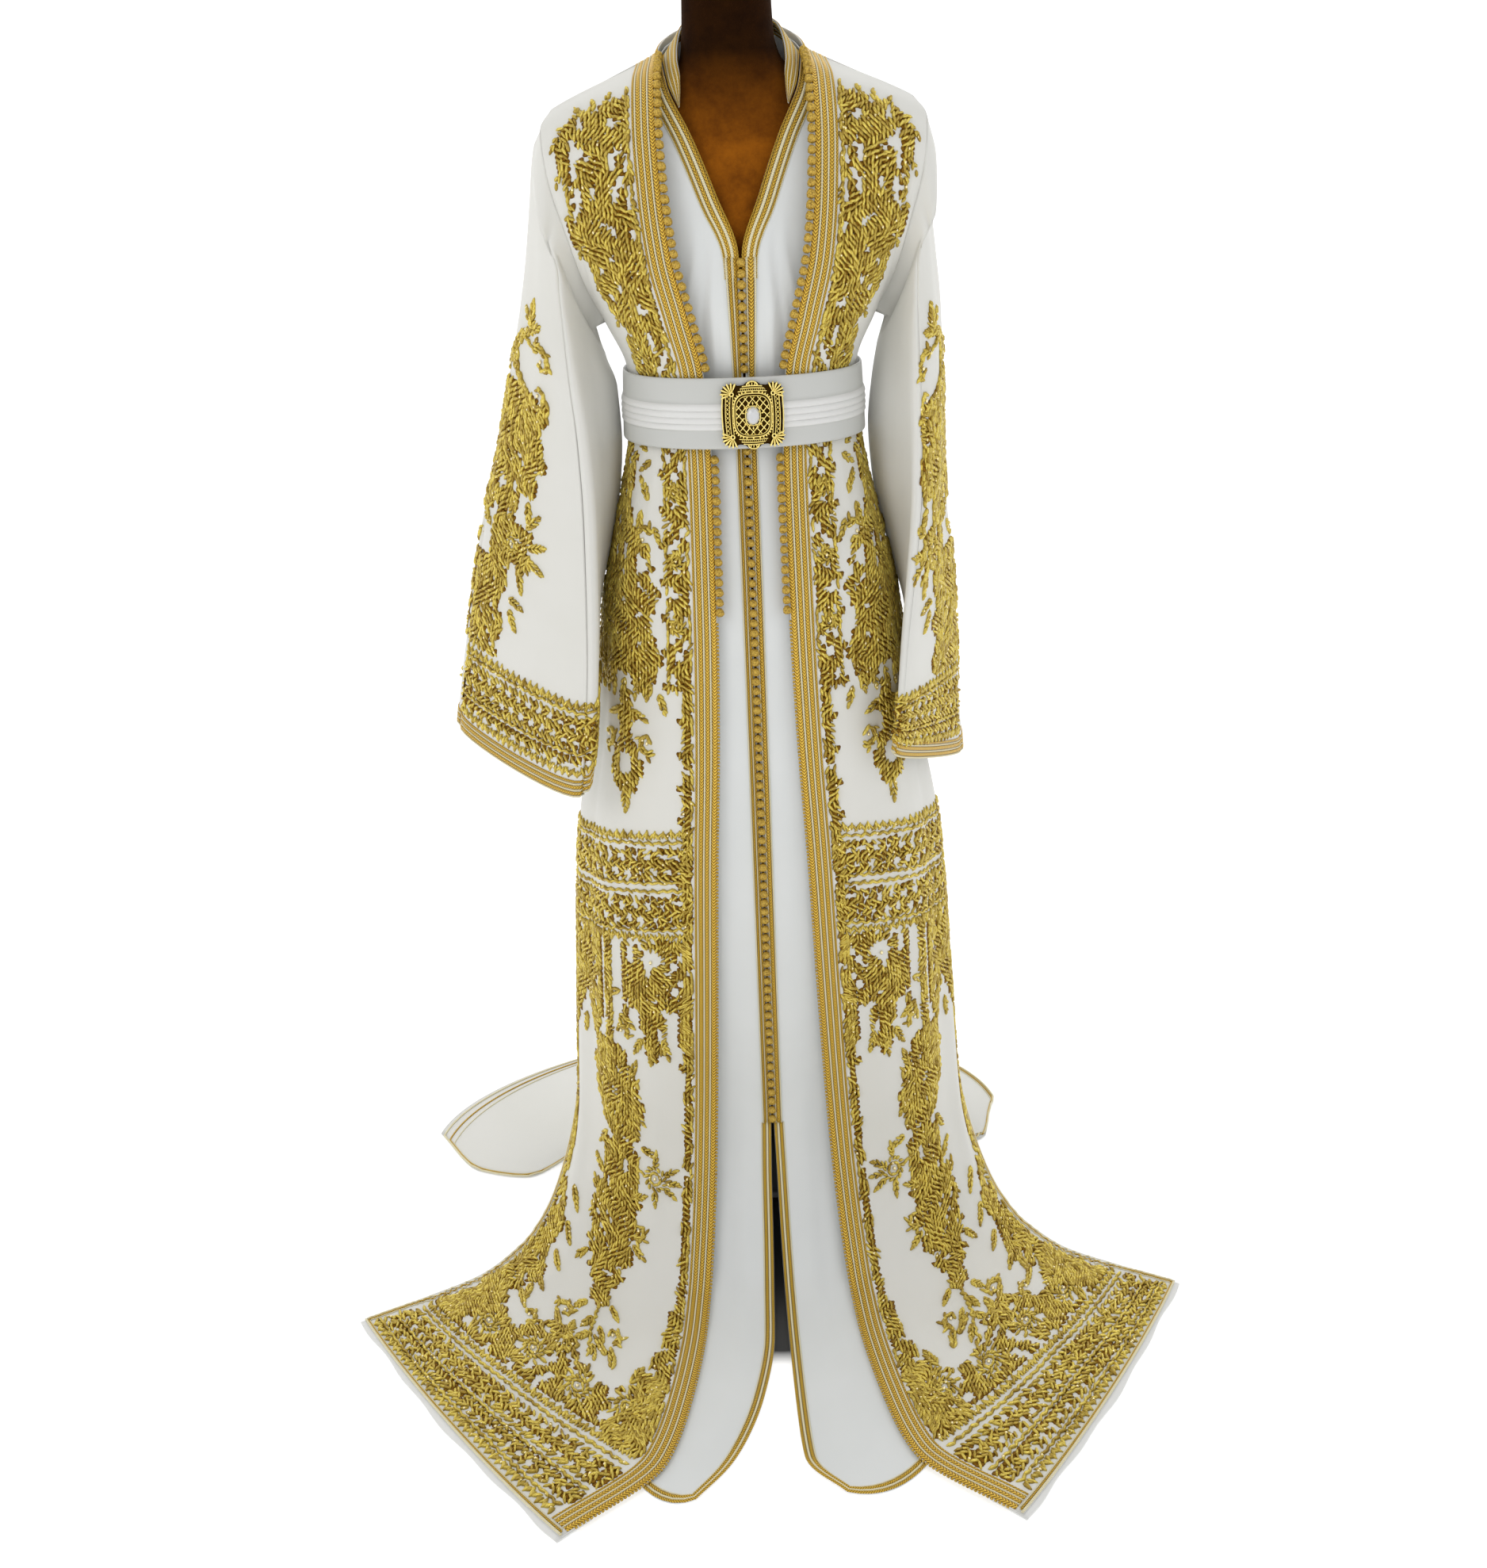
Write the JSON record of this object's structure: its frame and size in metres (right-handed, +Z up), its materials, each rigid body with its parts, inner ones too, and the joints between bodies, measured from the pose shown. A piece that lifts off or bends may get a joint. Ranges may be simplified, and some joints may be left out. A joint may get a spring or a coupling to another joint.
{
  "type": "takchita on dress form",
  "caption": "Ceremonial gown: a closed inner dress under an open long-sleeved robe with gold braid and embroidery, a wide buckled belt, on a limbless dress form and stand.",
  "frame": {"origin": "on the floor, at the middle of the underside of the stand's base", "axes": "+Z up along the stand; the open front of the robe faces -Y; +X is the viewer's right when facing the front"},
  "size_m": [1.0336, 1.0477, 1.528],
  "materials": {
    "robe_silk": "satin",
    "inner_satin": "satin",
    "gold_braid": "satin",
    "gold_buttons": "satin",
    "form_suede": "matte",
    "stand_steel": "satin",
    "belt_satin": "satin",
    "buckle_brass": "polished",
    "crystal_clear": "polished"
  },
  "bodies": {
    "root": {"belt_band": "belt_satin", "buckle_frame": "buckle_brass", "buckle_plate": "buckle_brass", "buckle_stone": "crystal_clear", "cuff_braid_left": "gold_braid", "cuff_braid_right": "gold_braid", "form_neck_cap": "stand_steel", "form_torso": "form_suede", "inner_back": "inner_satin", "inner_buttons": "gold_buttons", "inner_collar": "gold_braid", "inner_front_left": "inner_satin", "inner_front_right": "inner_satin", "inner_neck_braid_left": "gold_braid", "inner_neck_braid_right": "gold_braid", "inner_placket": "gold_braid", "inner_slit_braid_left": "gold_braid", "inner_slit_braid_right": "gold_braid", "robe_back": "robe_silk", "robe_back_cord": "gold_braid", "robe_buttons_left": "gold_buttons", "robe_buttons_right": "gold_buttons", "robe_front_braid_left": "gold_braid", "robe_front_braid_right": "gold_braid", "robe_front_cord_left": "gold_braid", "robe_front_cord_right": "gold_braid", "robe_front_left": "robe_silk", "robe_front_right": "robe_silk", "robe_lining_left": "inner_satin", "robe_lining_right": "inner_satin", "robe_neck_braid": "gold_braid", "sleeve_left": "robe_silk", "sleeve_right": "robe_silk", "stand_base": "stand_steel", "stand_pole": "stand_steel"}
  },
  "joints": []
}
